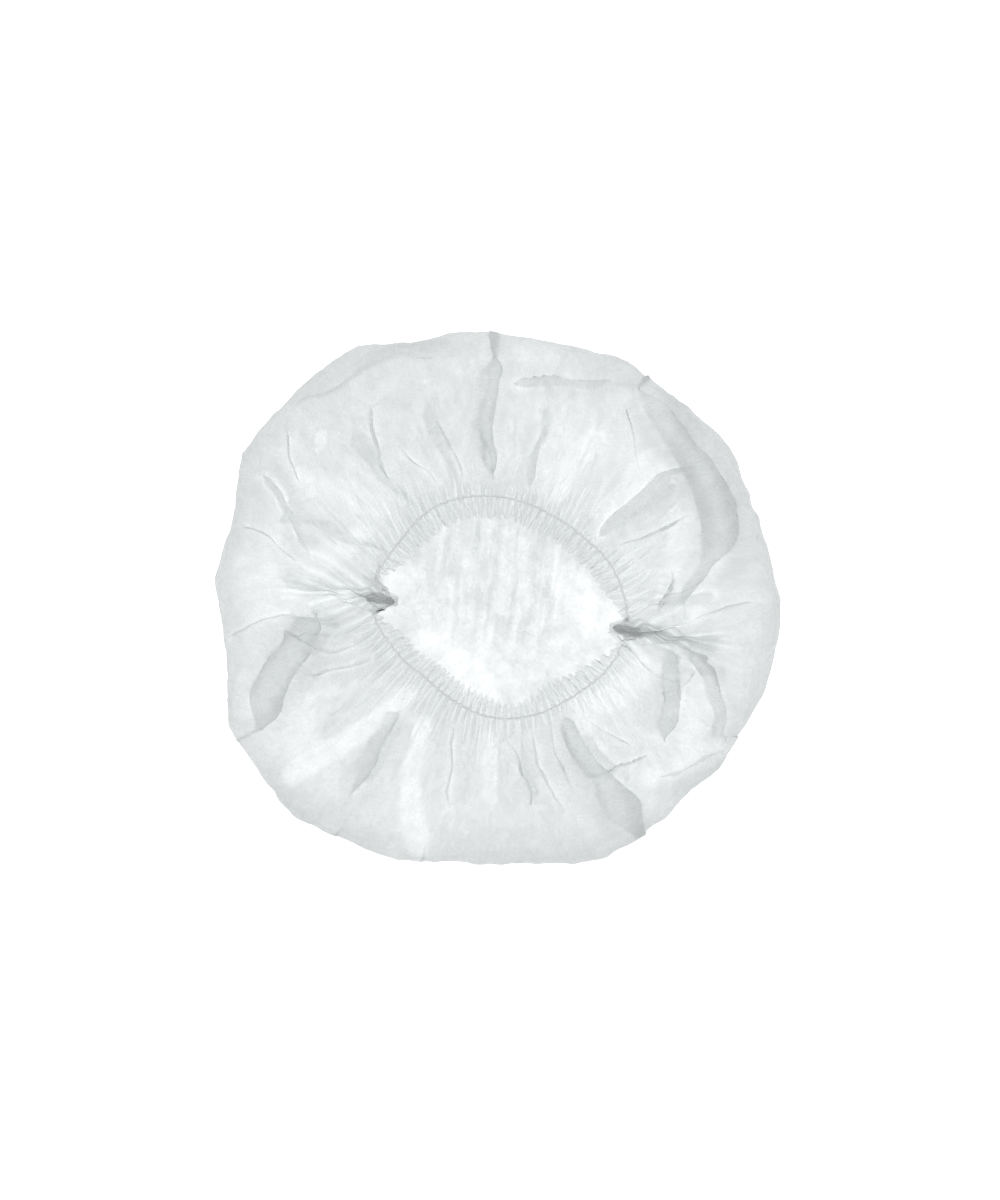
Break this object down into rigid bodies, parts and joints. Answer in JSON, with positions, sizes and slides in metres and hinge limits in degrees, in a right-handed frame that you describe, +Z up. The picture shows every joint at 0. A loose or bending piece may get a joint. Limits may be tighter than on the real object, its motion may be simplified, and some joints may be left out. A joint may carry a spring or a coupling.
{
  "type": "bouffant cap",
  "caption": "White nonwoven bouffant cap lying crown down: a puffed ring of gathered sheet around a lens-shaped mouth with elastic hems and a fused pleat bunch at each end.",
  "frame": {"origin": "on the resting plane, under the middle of the line that joins the two end welds", "axes": "+X along the line of the end welds, +Y towards the back hem, +Z up and out of the mouth"},
  "size_m": [0.3001, 0.2836, 0.0545],
  "materials": {
    "nonwoven_fabric": "matt white spunbond polypropylene",
    "folded_hem_fabric": "matt white spunbond polypropylene, folded over the elastic",
    "fused_fabric": "pleats fused into one bunch",
    "elastic_thread": "thin white elastic thread"
  },
  "bodies": {
    "crown": {"crown": "nonwoven_fabric", "left_end_weld": "fused_fabric", "right_end_weld": "fused_fabric"},
    "front": {"front_gathers": "nonwoven_fabric", "front_hem": "folded_hem_fabric", "front_elastic": "elastic_thread"},
    "back": {"back_gathers": "nonwoven_fabric", "back_hem": "folded_hem_fabric", "back_elastic": "elastic_thread"}
  },
  "joints": [
    {"name": "front_stretch", "type": "slide", "parent": "crown", "child": "front", "axis": [0, -1, 0], "range_m": [0, 0.04], "stiffness_N_per_m": 20},
    {"name": "back_stretch", "type": "slide", "parent": "crown", "child": "back", "axis": [0, 1, 0], "range_m": [0, 0.04], "stiffness_N_per_m": 20}
  ]
}
